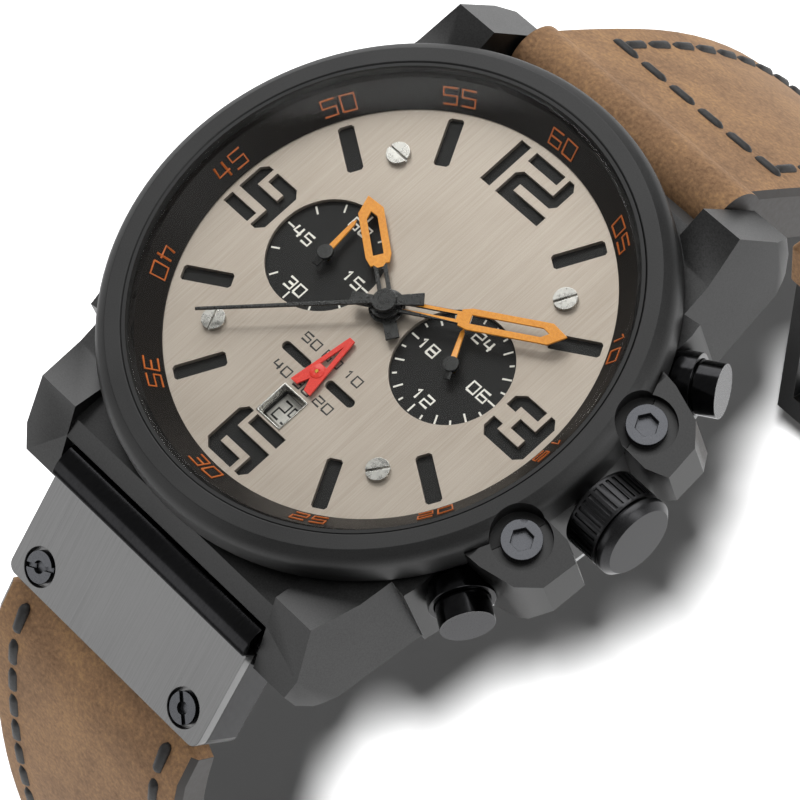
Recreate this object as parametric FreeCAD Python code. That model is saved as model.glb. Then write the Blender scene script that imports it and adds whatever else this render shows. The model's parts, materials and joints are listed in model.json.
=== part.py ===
"""Chronograph wristwatch, one STEP file per separate piece.

Frame: millimetres, +Z out of the dial, +Y towards 12 o'clock, +X towards the crown at 3 o'clock.
The origin is the centre of the case back's outer face. Clock angles run clockwise from 12 o'clock.
"""
import FreeCAD
import Part
import math
import os

os.makedirs("parts", exist_ok=True)
V = FreeCAD.Vector
X, Y, Z = V(1, 0, 0), V(0, 1, 0), V(0, 0, 1)

# ---- overall sizes -------------------------------------------------------------------------
BEZEL_R = 23.5          # outer radius of the bezel
CASE_R = 23.2           # outer radius of the case drum
STRAP_W = 24.0          # strap width at the lugs
DIAL_Z = 9.8            # height of the dial surface above the case back
BAR_Y, BAR_Z = 25.2, 4.3   # spring bar centres, both sides of the case
CROWN_Z = 7.7           # height of the crown axis
PUSHER_ANGLES = (60, 120)  # clock angles of the two pushers

# ---- fits, as radial clearances unless named otherwise --------------------------------------
RUN = 0.04              # turning shafts in their holes
SLIDE = 0.05            # sliding stems in their bores
STRAP_SIDE = 0.4        # strap to lug, each side
KEEPER_GAP = 0.5        # keeper to strap, all round
PIVOT_GAP = 0.35        # case to strap loop, round the spring bar

# ---- case ------------------------------------------------------------------------------------
BACK_T = 1.4            # case-back flange thickness
CASE_TOP = 9.2          # top of the case drum
CASE_BORE = 19.8        # bore that holds the movement
BACK_SCREW_R, BACK_SCREWS = 21.5, range(30, 390, 60)   # case-back screw circle and clock angles
COLLAR_R = 2.7          # pusher collars
PUSHER_Z = CASE_TOP - COLLAR_R + 0.1   # height of the pusher axes, collars just under the bezel
BEZEL_TOP = DIAL_Z + 3.0
BEZEL_BORE = 21.0
CRYSTAL_R, CRYSTAL_T = 20.7, 1.3
CRYSTAL_Z = DIAL_Z + 2.05
DIAL_R, DIAL_T = 19.7, 0.4
UNDER_T = 0.6           # underplate below the dial
OPEN_R = 5.1            # sub-dial openings
SUB_X = 7.6             # sub-dial centres, left and right
SECONDS_Y = -7.6        # small-seconds centre
SUBS = [(SUB_X, 0), (-SUB_X, 0)]
SCREW_R = 14.2          # circle of the dial screws
WINDOW_W, WINDOW_Y0, WINDOW_Y1 = 1.4, -13.0, -9.9   # date window: half width and ends of its frame

# ---- movement --------------------------------------------------------------------------------
PLATE_Z0, PLATE_Z1, PLATE_R = 5.4, 7.1, 15.4
BRIDGE_Z0, BRIDGE_Z1 = 3.3, 3.7
ARBOR_R = 0.15          # wheel arbors
CHRONO_R = 0.20         # chronograph seconds arbor
TUBE_R = 0.36           # centre wheel pipe
CANNON_R = 0.55         # minute hand pipe
HOUR_R = 0.85           # hour hand pipe
STAGE_1, STAGE_2 = 3.85, 3.80   # centre distances of the two 60:1 trains

# ---- strap -----------------------------------------------------------------------------------
KNUCKLE_R = 2.8         # strap loop round the spring bar
BAR_R = 0.9             # spring bar tube
BUCKLE_W = 20.0         # strap width at the buckle
UPPER_PATH = [(12, 4), (22, 20), (38, 40)]          # length, turn in degrees
UPPER_HEAD = 46.0       # downward heading at the lug
LOWER_PATH = [(6.9, 0), (0.9, 3), (5.1, 27), (22, 14), (34, 8), (22, 50), (28, 30)]
PLATE_HEAD = 38.0       # slope of the end-link plate


def polar(radius, clock):
    a = math.radians(clock)
    return radius * math.sin(a), radius * math.cos(a)


def cyl(r, z0, z1, at=(0, 0)):
    return Part.makeCylinder(r, z1 - z0, V(at[0], at[1], z0), Z)


def ring(ro, ri, z0, z1, at=(0, 0)):
    return cyl(ro, z0, z1, at).cut(cyl(ri, z0, z1, at))


def box(x0, x1, y0, y1, z0, z1):
    return Part.makeBox(x1 - x0, y1 - y0, z1 - z0, V(x0, y0, z0))


def xcyl(r, x0, x1, y, z):
    return Part.makeCylinder(r, x1 - x0, V(x0, y, z), X)


def face(points):
    return Part.Face(Part.makePolygon(points + [points[0]]))


def prism(xy, z0, z1):
    return face([V(x, y, z0) for x, y in xy]).extrude(V(0, 0, z1 - z0))


def prism_yz(yz, x0, x1):
    return face([V(x0, y, z) for y, z in yz]).extrude(V(x1 - x0, 0, 0))


def lathe(rz, at=(0, 0)):
    solid = face([V(r, 0, z) for r, z in rz]).revolve(V(0, 0, 0), Z, 360)
    solid.translate(V(at[0], at[1], 0))
    return solid


def turned(shape, clock, at=(0, 0)):
    """Turn a shape made along +Y to a clock angle about a vertical axis."""
    out = shape.copy()
    out.rotate(V(0, 0, 0), Z, -clock)
    out.translate(V(at[0], at[1], 0))
    return out


def radial(r, rho0, rho1, clock, z):
    """Cylinder lying along a radius of the case."""
    c = Part.makeCylinder(r, rho1 - rho0, V(0, rho0, z), Y)
    return turned(c, clock)


def slot(x0, y0, x1, y1, width, z0, z1):
    """Round-ended bar between two points."""
    d = V(x1 - x0, y1 - y0, 0)
    n = V(-d.y, d.x, 0).normalize() * (width / 2)
    p, q = V(x0, y0, 0), V(x1, y1, 0)
    body = prism([(c.x, c.y) for c in (p + n, q + n, q - n, p - n)], z0, z1)
    return body.fuse([cyl(width / 2, z0, z1, (x0, y0)), cyl(width / 2, z0, z1, (x1, y1))]).removeSplitter()


def gear(teeth, pitch_r, z0, z1, phase, at=(0, 0), bore=0.0):
    """Spur gear with straight-flanked teeth; phase is the angle of one tooth, in radians from +X."""
    module = 2 * pitch_r / teeth
    tip, root = pitch_r + 0.62 * module, pitch_r - 0.95 * module
    step = 2 * math.pi / teeth
    pts = []
    for i in range(teeth):
        c = phase + i * step
        for r, f in ((root, -0.25), (tip, -0.10), (tip, 0.10), (root, 0.25)):
            a = c + f * step
            pts.append((at[0] + r * math.cos(a), at[1] + r * math.sin(a)))
    body = prism(pts, z0, z1)
    return body.cut(cyl(bore, z0, z1, at)) if bore else body


def meshed(phase, teeth, line, other):
    """Phase for a gear of `other` teeth that meshes with one of `teeth` across the line angle."""
    part = (phase - line) * teeth / (2 * math.pi)
    return line + math.pi + (0.5 - part) * 2 * math.pi / other


def export(name, shape):
    if len(shape.Solids) == 1:
        shape = shape.Solids[0]
    assert shape.isValid() and shape.Volume > 0, name
    shape.exportStep("parts/" + name + ".step")
    print(name, len(shape.Solids), round(shape.Volume, 3))


# ---- case body: drum, four lugs and the square walls between them ------------------------------
def lug():
    """The lug at +X +Y, cut from a side profile, an outline seen from above and two facets."""
    side = prism_yz([(12, 1.4), (12, 9.2), (18.5, 9.2), (22.8, DIAL_Z + 0.4), (27.1, 4.2),
                     (26.7, 2.4), (25.6, 1.4)], 12.4, 19.5)
    outline = prism([(12.4, 10), (20.6, 10), (19.3, 15.5), (18.5, 22), (17.3, 25), (15.7, 28), (12.4, 28)],
                    0, 12)
    body = side.common(outline)
    facet = face([V(16.6, 30, DIAL_Z + 0.45), V(19.5, 30, DIAL_Z + 0.45), V(19.5, 30, -1),
                  V(18.3, 30, -1)]).extrude(V(0, -14.5, 0))
    facet.rotate(V(16.6, 22.8, DIAL_Z), Z, 7)
    return body.cut(facet)


def case_body():
    drum = cyl(CASE_R, BACK_T, CASE_TOP)
    wall = prism_yz([(12, 1.4), (12, 8.6), (21.4, 8.6), (22.4, 7.6), (22.4, 3.0), (21.0, 1.4)], -12.5, 12.5)
    quarter = lug()
    lugs = [quarter, quarter.mirror(V(0, 0, 0), X)]
    # the wall at 6 o'clock carries a lip over the barrel of the end link
    lip_wall = prism_yz([(-12, 1.4), (-12, 8.8), (-23.2, 8.8), (-24.6, 7.7), (-24.6, 7.2), (-22.4, 6.4),
                         (-22.4, 3.0), (-21.0, 1.4)], -12.5, 12.5)
    body = drum.fuse(lugs + [s.mirror(V(0, 0, 0), Y) for s in lugs] + [wall, lip_wall]).removeSplitter()
    body = body.cut(cyl(CASE_BORE, 0, 12))
    body = body.cut(cyl(BEZEL_R + 0.1, CASE_TOP, 12))
    # gasket groove under the drum and tapped holes for the case back
    body = body.cut(ring(20.7, 20.1, BACK_T, BACK_T + 0.6))
    body = body.cut([cyl(0.5, BACK_T, 3.4, polar(BACK_SCREW_R, a)) for a in BACK_SCREWS])
    # room for the strap loops, spring-bar holes, crown tube hole, pusher holes and guard screw holes
    room = STRAP_W / 2 + STRAP_SIDE
    for side in (1, -1):
        body = body.cut(xcyl(KNUCKLE_R + PIVOT_GAP, -room, room, side * BAR_Y, BAR_Z))
        body = body.cut(xcyl(0.5, -13.9, 13.9, side * BAR_Y, BAR_Z))
    body = body.cut(xcyl(1.3, 18, 25, 0, CROWN_Z))
    for a in PUSHER_ANGLES:
        body = body.cut([radial(0.60 + SLIDE, 18, 25, a, PUSHER_Z), radial(1.3, 22.0, 25, a, PUSHER_Z),
                         radial(COLLAR_R, 23.35, 30, a, PUSHER_Z)])
    for s in (1, -1):
        body = body.cut(guard_axis(0.7, -3.5, 0.2, s))
    return body


# ---- crown guards: two blocks beside the crown, each held by a tilted socket screw --------------
GUARD_TILT = 17.0       # screw axis leans out from vertical
GUARD_AT = (23.3, 6.6, DIAL_Z + 0.9)
GUARD_HEAD_R, GUARD_RECESS_R, GUARD_HEAD_T = 1.65, 2.45, 1.0


def guard_axis(r, d0, d1, side):
    """Cylinder on a guard screw's axis, from depth d0 to d1 along its outward direction."""
    t = math.radians(GUARD_TILT)
    axis = V(math.sin(t), 0, math.cos(t))
    start = V(GUARD_AT[0], side * GUARD_AT[1], GUARD_AT[2]) + axis * d0
    return Part.makeCylinder(r, d1 - d0, start, axis)


def crown_guard(side):
    outline = prism([(20, 4.1), (25.6, 4.1), (27.3, 4.9), (27.0, 8.0), (25.5, 9.6), (22.6, 10.4),
                     (20, 10.6)], 3.6, 11.2)
    slope = prism([(-14, 0), (14, 0), (14, 14), (-14, 14)], 0, 6)
    slope.rotate(V(0, 0, 0), Y, GUARD_TILT)
    slope.translate(V(GUARD_AT[0], 0, GUARD_AT[2]))
    under = face([V(24.2, 0, 3.5), V(28, 0, 3.5), V(28, 0, 6.2)]).extrude(V(0, 14, 0))
    block = outline.cut([slope, under, cyl(CASE_R, 0, CASE_TOP), cyl(BEZEL_R + 0.05, CASE_TOP, 14)])
    block = block.cut([guard_axis(GUARD_RECESS_R, -GUARD_HEAD_T, 3, 1), guard_axis(0.7, -9, 3, 1)])
    block = block.cut(radial(COLLAR_R + 0.05, 20, 30, PUSHER_ANGLES[0], PUSHER_Z))
    if side < 0:
        block = block.mirror(V(0, 0, 0), Y)
    return block


def guard_screws():
    out = []
    for s in (1, -1):
        screw = guard_axis(GUARD_HEAD_R, -GUARD_HEAD_T, 0.1, s).fuse(guard_axis(0.7, -3.5, -GUARD_HEAD_T, s))
        t = math.radians(GUARD_TILT)
        corners = [math.radians(60 * i) for i in range(7)]
        socket = Part.makePolygon([V(0.95 * math.cos(c), 0.95 * math.sin(c), 0) for c in corners])
        socket = Part.Face(socket).extrude(V(0, 0, 2))
        socket.rotate(V(0, 0, 0), Y, GUARD_TILT)
        socket.translate(V(GUARD_AT[0] - 0.7 * math.sin(t), s * GUARD_AT[1], GUARD_AT[2] - 0.7 * math.cos(t)))
        out.append(screw.cut(socket))
    return Part.makeCompound(out)


export("case_body", case_body())
bezel = lathe([(20.9, CASE_TOP), (22.8, CASE_TOP), (22.8, 9.45), (BEZEL_R, 9.45), (BEZEL_R, 11.4),
               (23.35, 11.9), (23.0, 12.4), (22.4, BEZEL_TOP), (BEZEL_BORE + 0.15, BEZEL_TOP),
               (BEZEL_BORE, BEZEL_TOP - 0.15), (BEZEL_BORE, CRYSTAL_Z), (20.9, CRYSTAL_Z)])
for s in (1, -1):        # scallops round the guard screws
    bezel = bezel.cut([guard_axis(GUARD_RECESS_R + 0.05, -GUARD_HEAD_T - 0.05, 6, s),
                       guard_axis(0.75, -4, 0, s)])
export("bezel", bezel)
export("crystal", lathe([(0, CRYSTAL_Z), (CRYSTAL_R, CRYSTAL_Z), (CRYSTAL_R, CRYSTAL_Z + CRYSTAL_T - 0.35),
                         (CRYSTAL_R - 0.35, CRYSTAL_Z + CRYSTAL_T), (0, CRYSTAL_Z + CRYSTAL_T)]))
export("crown_guards", Part.makeCompound([crown_guard(1), crown_guard(-1)]))
export("guard_screws", guard_screws())

# ---- case back ----------------------------------------------------------------------------------
back = cyl(22.7, 0, BACK_T).fuse(ring(CASE_BORE - 0.1, 18.9, BACK_T, 2.4))
back = back.cut([cyl(1.0, 0, 0.75, polar(BACK_SCREW_R, a)) for a in BACK_SCREWS])
back = back.cut([cyl(0.5, 0, BACK_T, polar(BACK_SCREW_R, a)) for a in BACK_SCREWS])
export("case_back", back)
export("gaskets", Part.makeCompound([ring(BEZEL_BORE, CRYSTAL_R, CRYSTAL_Z, CRYSTAL_Z + 0.9),
                                     ring(20.7, 20.1, BACK_T, BACK_T + 0.55)]))
screws = []
for a in BACK_SCREWS:
    at = polar(BACK_SCREW_R, a)
    s = cyl(0.95, 0.1, 0.75, at).fuse(cyl(0.5, 0.75, 3.3, at))
    screws.append(s.cut(turned(box(-1, 1, -0.12, 0.12, 0, 0.35), a + 20, at)))
export("case_back_screws", Part.makeCompound(screws))

# ---- flange, dial and the plate beneath it ---------------------------------------------------------
export("dial_flange", lathe([(18.4, DIAL_Z), (20.85, DIAL_Z), (20.85, CRYSTAL_Z), (20.2, CRYSTAL_Z),
                             (18.4, DIAL_Z + 0.15)]))

# outlines of the cut numerals, upright, in dial coordinates
NUMERALS = [
    [(-3.45, 17.6), (-2.35, 17.6), (-2.35, 13.0), (-3.45, 13.0)],                      # 12
    [(-1.65, 17.6), (1.75, 17.6), (1.75, 16.6), (-1.65, 16.6)],
    [(2.25, 17.6), (2.8, 17.6), (3.3, 17.05), (3.3, 15.25), (2.85, 14.75), (-0.55, 14.75), (-0.55, 14.0),
     (3.3, 14.0), (3.3, 13.0), (-1.65, 13.0), (-1.65, 15.2), (-1.15, 15.75), (2.25, 15.75)],
    [(14.0, 2.3), (16.25, 2.3), (16.25, 1.3), (14.3, 1.3), (14.3, 0.7), (13.25, 0.7), (13.25, 1.65)],   # 3
    [(16.75, 2.3), (17.2, 2.3), (17.8, 1.65), (17.8, -1.7), (17.2, -2.3), (13.85, -2.3), (13.25, -1.7),
     (13.25, -0.65), (14.3, -0.65), (14.3, -1.25), (16.7, -1.25), (16.7, -0.5), (15.05, -0.5), (15.05, 0.55),
     (16.75, 0.55)],
    [(-1.0, -13.2), (2.45, -13.2), (2.45, -14.25), (-1.0, -14.25)],                    # 6
    [(-2.0, -13.2), (-1.45, -13.2), (-1.45, -14.95), (2.45, -14.95), (2.45, -17.2), (1.95, -17.8),
     (1.4, -17.8), (1.4, -16.1), (-1.45, -16.1), (-1.45, -16.75), (0.9, -16.75), (0.9, -17.8), (-1.8, -17.8),
     (-2.55, -17.15), (-2.55, -13.85)],
    [(-17.9, -1.3), (-14.9, -1.3), (-14.9, -2.3), (-17.9, -2.3)],                      # 9
    [(-17.35, 2.3), (-16.85, 2.3), (-16.85, 0.55), (-14.45, 0.55), (-14.45, 1.25), (-16.35, 1.25),
     (-16.35, 2.3), (-13.95, 2.3), (-13.35, 1.7), (-13.35, -1.7), (-13.95, -2.3), (-14.5, -2.3),
     (-14.5, -0.55), (-17.9, -0.55), (-17.9, 1.7)],
]
INDEX_R0, INDEX_R1, INDEX_W = 13.4, 17.8, 1.35       # hour slots
TOP, BOT = DIAL_Z, DIAL_Z - DIAL_T


def index_slot(clock):
    """Straight slot with clipped corners, along a radius."""
    w, c = INDEX_W / 2, 0.2
    return turned(prism([(-w, INDEX_R0 + c), (-w, INDEX_R1 - c), (c - w, INDEX_R1), (w - c, INDEX_R1),
                         (w, INDEX_R1 - c), (w, INDEX_R0 + c), (w - c, INDEX_R0), (c - w, INDEX_R0)],
                        BOT, TOP), clock)


dial = cyl(DIAL_R, BOT, TOP)
cuts = [index_slot(a) for a in (30, 60, 120, 150, 210, 240, 300, 330)]
cuts += [prism(points, BOT, TOP) for points in NUMERALS]
cuts += [cyl(OPEN_R, BOT, TOP, c) for c in SUBS]
cuts += [cyl(1.0, BOT, TOP), cyl(0.5, BOT, TOP, (0, SECONDS_Y))]
cuts += [box(-WINDOW_W, WINDOW_W, WINDOW_Y0, WINDOW_Y1, BOT, TOP)]
cuts += [slot(side * 1.45, SECONDS_Y, side * 3.85, SECONDS_Y, 0.8, BOT, TOP) for side in (1, -1)]
cuts += [cyl(0.42, BOT, TOP, polar(SCREW_R, a)) for a in (45, 135, 225, 315)]
export("dial_plate", dial.cut(cuts))

under = cyl(DIAL_R, BOT - UNDER_T, BOT)
under = under.cut([cyl(0.95, 0, 12)] + [cyl(0.35, 0, 12, c) for c in SUBS + [(0, SECONDS_Y)]])
under = under.cut([box(0.3 - WINDOW_W, WINDOW_W - 0.3, WINDOW_Y0 + 0.3, WINDOW_Y1 - 0.3, 0, 12)])
under = under.cut([cyl(0.42, 0, 12, polar(SCREW_R, a)) for a in (45, 135, 225, 315)])
export("dial_underplate", under)

outer = box(-WINDOW_W, WINDOW_W, WINDOW_Y0, WINDOW_Y1, BOT, TOP + 0.1)
window = Part.makeLoft([Part.makePolygon([V(x, y, z) for x, y in (
    (rim - WINDOW_W, WINDOW_Y0 + rim), (WINDOW_W - rim, WINDOW_Y0 + rim), (WINDOW_W - rim, WINDOW_Y1 - rim),
    (rim - WINDOW_W, WINDOW_Y1 - rim), (rim - WINDOW_W, WINDOW_Y0 + rim))])
    for rim, z in ((0.38, BOT - 0.01), (0.1, TOP + 0.11))], True, True)
export("date_window_frame", outer.cut(window))

screws = []
for a, slot_turn in ((45, -60), (135, -52), (225, 65), (315, 0)):
    at = polar(SCREW_R, a)
    s = cyl(1.0, TOP, TOP + 0.4, at).fuse(cyl(0.42, 6.2, TOP, at))
    s = s.cut(turned(box(-1.1, 1.1, -0.1, 0.1, TOP + 0.15, TOP + 0.5), slot_turn, at))
    screws.append(s)
export("dial_screws", Part.makeCompound(screws))

date = ring(13.3, 10.0, 8.25, 8.55)
teeth = [turned(prism([(-0.22, 10.05), (0.22, 10.05), (0.1, 9.65), (-0.1, 9.65)], 8.25, 8.55), i * 360 / 31)
         for i in range(31)]
export("date_ring", date.fuse(teeth).removeSplitter())

# ---- movement plates -------------------------------------------------------------------------------
THIRD = (0.437, -3.7748)          # third wheel, between seconds and centre
CHRONO_MID = (-3.8252, 0.437)     # chronograph intermediate, between centre and minute counter
MINUTE_AT = (-2.5456, 2.5456)     # minute wheel of the motion work
IDLER_AT = (3.001, 1.373)         # 24-hour idler
COUNTER_AT, DAY_AT, SECONDS_AT = (-SUB_X, 0), (SUB_X, 0), (0, SECONDS_Y)
CROWN_PULL = 1.0                  # travel of the crown, stem and setting yoke
STEP_D, MOTOR_D = 2.64, 2.24      # step train centre distances
STEP_LINE, MOTOR_LINE = -20, 10   # directions of the two step train meshes, in degrees from +X


def offset(at, dist, degrees):
    a = math.radians(degrees)
    return at[0] + dist * math.cos(a), at[1] + dist * math.sin(a)


STEP_AT = offset(SECONDS_AT, STEP_D, STEP_LINE)
ROTOR_AT = offset(STEP_AT, MOTOR_D, MOTOR_LINE)

COIL_A, COIL_B = (7.5, -11.4), (11.0, -5.8)   # ends of the coil core
SCREW_PILLARS = [(-12.2, -4.5), (12.6, -0.9), (3.2, 13.2)]
BATTERY_AT, BATTERY_R = (-4.4, 9.2), 4.75

export("movement_ring", ring(CASE_BORE - 0.05, PLATE_R + 0.05, 2.45, BOT - UNDER_T).cut(
    [xcyl(0.65, 14, 21, 0, CROWN_Z)] + [radial(1.35, 14, 21, a, PUSHER_Z) for a in PUSHER_ANGLES]))

plate = cyl(PLATE_R, PLATE_Z0, PLATE_Z1).fuse(ring(PLATE_R, 9.3, PLATE_Z1, 8.2)).removeSplitter()
plate = plate.fuse([cyl(0.9, BRIDGE_Z1, PLATE_Z0, c) for c in SCREW_PILLARS])
plate = plate.fuse([cyl(0.18, PLATE_Z1, 7.8, MINUTE_AT), cyl(0.18, PLATE_Z1, 8.15, IDLER_AT)])
plate = plate.cut([cyl(3.5, PLATE_Z1, 8.3, DAY_AT), xcyl(0.5, 11.0, 16, 0, CROWN_Z)])
plate = plate.cut([box(11.95, 12.65 + CROWN_PULL, -1.6, 1.6, 6.9, 8.3),
                   box(11.0, 16, -0.5, 0.5, CROWN_Z, 8.3)])
plate = plate.cut([cyl(TUBE_R + RUN, 0, 9)] + [cyl(ARBOR_R + RUN, 0, 9, c) for c in
                                                (COUNTER_AT, DAY_AT, SECONDS_AT)])
HOLES = [THIRD, CHRONO_MID, STEP_AT, ROTOR_AT]
plate = plate.cut([cyl(ARBOR_R + RUN, PLATE_Z0 - 1, PLATE_Z0 + 0.5, c) for c in HOLES])
plate = plate.cut([cyl(0.42, PLATE_Z0, 9, polar(SCREW_R, a)) for a in (45, 135, 225, 315)])
plate = plate.cut([cyl(0.4, 3, 6.4, c) for c in SCREW_PILLARS])
plate = plate.cut([radial(1.35, 14, 17, a, PUSHER_Z) for a in PUSHER_ANGLES])
plate = plate.cut([cyl(BATTERY_R + 0.1, 5.0, PLATE_Z0 + 0.02, BATTERY_AT)])
export("main_plate", plate)

bridge = cyl(14.6, BRIDGE_Z0, BRIDGE_Z1).cut([cyl(BATTERY_R + 0.3, 3, 4, BATTERY_AT)])
bridge = bridge.cut([cyl(ARBOR_R + RUN, 3, 3.75, c) for c in HOLES + [COUNTER_AT, SECONDS_AT]])
bridge = bridge.cut([cyl(CHRONO_R + RUN, 3, 4)] + [cyl(0.45, 3, 4, c) for c in SCREW_PILLARS])
export("train_bridge", bridge.cut(slot(*COIL_A, *COIL_B, 3.0, 3.0, 4.0)))
export("bridge_screws", Part.makeCompound([
    cyl(0.85, 2.95, BRIDGE_Z0, c).fuse(cyl(0.4, BRIDGE_Z0, 6.2, c)).cut(
        box(c[0] - 1, c[0] + 1, c[1] - 0.12, c[1] + 0.12, 2.9, 3.1)) for c in SCREW_PILLARS]))
board = cyl(14.6, 2.6, 2.85).cut([cyl(BATTERY_R + 0.3, 2, 3, BATTERY_AT), cyl(0.6, 2, 3),
                                  cyl(0.6, 2, 3, COUNTER_AT), cyl(0.6, 2, 3, SECONDS_AT)])
board = board.cut([cyl(1.1, 2, 3, c) for c in SCREW_PILLARS] + [slot(*COIL_A, *COIL_B, 3.0, 2, 3)])
board = board.cut([cyl(0.6, 2, 3, c) for c in HOLES])
can = Part.makeCylinder(0.55, 4.6, V(-9.5, -9.8, 2.05), V(1, 0.25, 0))
export("circuit_board", Part.makeCompound([board, can]))
export("battery", cyl(BATTERY_R, 2.65, 5.3, BATTERY_AT).fuse(cyl(BATTERY_R - 0.8, 2.5, 2.65, BATTERY_AT)))

def bar(p, q, width, z0, z1):
    return slot(p[0], p[1], q[0], q[1], width, z0, z1)


# ---- step motor: coil, stator, rotor and the step wheel between rotor and seconds wheel ----------------
SECONDS_PHASE, CHRONO_PHASE = 0.1, 0.3
STEP_PHASE = 0.2
step_pinion = gear(8, 0.44, 3.95, 4.25, meshed(SECONDS_PHASE, 40, math.radians(STEP_LINE), 8), STEP_AT)
step = step_pinion.fuse([gear(48, 1.92, 4.3, 4.5, STEP_PHASE, STEP_AT),
                         cyl(ARBOR_R, BRIDGE_Z0, PLATE_Z0 + 0.4, STEP_AT)])
export("step_wheel", step.removeSplitter())
rotor = gear(8, 0.32, 4.25, 4.55, meshed(STEP_PHASE, 48, math.radians(MOTOR_LINE), 8), ROTOR_AT)
rotor = rotor.fuse([cyl(0.7, 4.7, 5.15, ROTOR_AT), cyl(ARBOR_R, BRIDGE_Z0, PLATE_Z0 + 0.4, ROTOR_AT)])
export("rotor", rotor.removeSplitter())
ST_Z0, ST_Z1 = 4.72, 5.05
stator = cyl(1.5, ST_Z0, ST_Z1, ROTOR_AT)
stator = stator.fuse([bar(c, ROTOR_AT, 1.3, ST_Z0, ST_Z1) for c in (COIL_A, COIL_B)])
stator = stator.cut([cyl(0.85, 4, 6, ROTOR_AT)] + [cyl(0.25, 4, 6, c) for c in (COIL_A, COIL_B)])
export("stator", stator.removeSplitter())
span = V(COIL_B[0] - COIL_A[0], COIL_B[1] - COIL_A[1], 0)
run = V(span).normalize()
core_at = V(COIL_A[0], COIL_A[1], 3.45)
coil = Part.makeCylinder(1.2, span.Length - 2.2, core_at + run * 1.1, run)
coil = coil.fuse([Part.makeCylinder(0.45, span.Length, core_at, run)] +
                 [cyl(0.45, 3.2, ST_Z0, c) for c in (COIL_A, COIL_B)])
export("coil", coil.removeSplitter())

# ---- wheels -----------------------------------------------------------------------------------------
R1A, R1B = STAGE_1 * 8 / 68, STAGE_1 * 60 / 68      # 8 and 60 teeth
R2A, R2B = STAGE_2 * 8 / 72, STAGE_2 * 64 / 72      # 8 and 64 teeth


def line(a, b):
    return math.atan2(b[1] - a[1], b[0] - a[0])


# going train: seconds 8 -> third 60, third 8 -> centre 64
third_phase = meshed(SECONDS_PHASE, 8, line(SECONDS_AT, THIRD), 60)
third = gear(60, R1B, 4.65, 4.85, third_phase, THIRD).fuse(gear(8, R2A, 4.85, 5.3, 0.0, THIRD))
export("third_wheel", third.fuse(cyl(ARBOR_R, BRIDGE_Z0, PLATE_Z0 + 0.4, THIRD)).removeSplitter())
centre = gear(64, R2B, 5.0, 5.25, meshed(0.0, 8, line(THIRD, (0, 0)), 64))
centre = centre.fuse(cyl(TUBE_R, 5.0, 7.6)).cut(cyl(CHRONO_R + RUN, 4, 9)).removeSplitter()
export("centre_wheel", centre)

# chronograph train: chrono 8 -> intermediate 60, intermediate 8 -> counter 64
mid_phase = meshed(CHRONO_PHASE, 8, line((0, 0), CHRONO_MID), 60)
mid = gear(60, R1B, 4.3, 4.5, mid_phase, CHRONO_MID).fuse(gear(8, R2A, 3.85, 4.3, 0.0, CHRONO_MID))
export("chrono_intermediate_wheel",
       mid.fuse(cyl(ARBOR_R, BRIDGE_Z0, PLATE_Z0 + 0.4, CHRONO_MID)).removeSplitter())
counter = gear(64, R2B, 3.95, 4.15, meshed(0.0, 8, line(CHRONO_MID, COUNTER_AT), 64), COUNTER_AT)
export("minute_counter_wheel", counter.fuse(cyl(ARBOR_R, BRIDGE_Z0, TOP + 0.55, COUNTER_AT)).removeSplitter())
sec = gear(40, 2.2, 4.0, 4.2, SECONDS_PHASE, SECONDS_AT).fuse(gear(8, R1A, 4.6, 4.9, SECONDS_PHASE,
                                                                     SECONDS_AT))
export("seconds_wheel", sec.fuse(cyl(ARBOR_R, BRIDGE_Z0, TOP + 0.55, SECONDS_AT)).removeSplitter())
chr_wheel = gear(40, 2.2, 4.0, 4.2, CHRONO_PHASE).fuse(gear(8, R1A, 4.25, 4.55, CHRONO_PHASE))
export("chrono_wheel", chr_wheel.fuse(cyl(CHRONO_R, BRIDGE_Z0, TOP + 1.65)).removeSplitter())

# motion work: cannon 12 -> minute wheel 36, its pinion 10 -> hour wheel 40,
# then hour pinion 20 -> idler 24 -> day wheel 40
CANNON_PHASE, HOUR_PINION_PHASE = 0.0, 0.05
min_line = line((0, 0), MINUTE_AT)
minute = gear(36, 2.7, 7.2, 7.38, meshed(CANNON_PHASE, 12, min_line, 36), MINUTE_AT)
minute = minute.fuse(gear(10, 0.72, 7.38, 7.75, 0.0, MINUTE_AT))
export("minute_wheel", minute.cut(cyl(0.18 + RUN, 7, 9, MINUTE_AT)).removeSplitter())
hour = gear(40, 2.88, 7.5, 7.68, meshed(0.0, 10, min_line + math.pi, 40))
hour = hour.fuse([gear(20, 1.5, 7.68, 8.1, HOUR_PINION_PHASE), cyl(HOUR_R, 7.5, TOP + 0.55)])
export("hour_wheel", hour.cut(cyl(CANNON_R + RUN, 7, 12)).removeSplitter())
idler_phase = meshed(HOUR_PINION_PHASE, 20, line((0, 0), IDLER_AT), 24)
export("day_idler", gear(24, 1.8, 7.8, 8.05, idler_phase, IDLER_AT, 0.18 + RUN))
day = gear(40, 3.0, 7.8, 8.0, meshed(idler_phase, 24, line(IDLER_AT, DAY_AT), 40), DAY_AT)
finger = turned(box(-0.25, 0.25, 0, 1.9, 8.0, 8.5), 250, DAY_AT)
export("day_wheel", day.fuse([finger, cyl(0.5, 8.0, 8.5, DAY_AT), cyl(ARBOR_R, 6.0, TOP + 0.55, DAY_AT)]
                             ).removeSplitter())

# ---- hands ------------------------------------------------------------------------------------------
HAND_T = 0.2
Z_SUB, Z_HOUR, Z_MINUTE, Z_CHRONO = TOP + 0.25, TOP + 0.55, TOP + 1.0, TOP + 1.45


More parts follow.
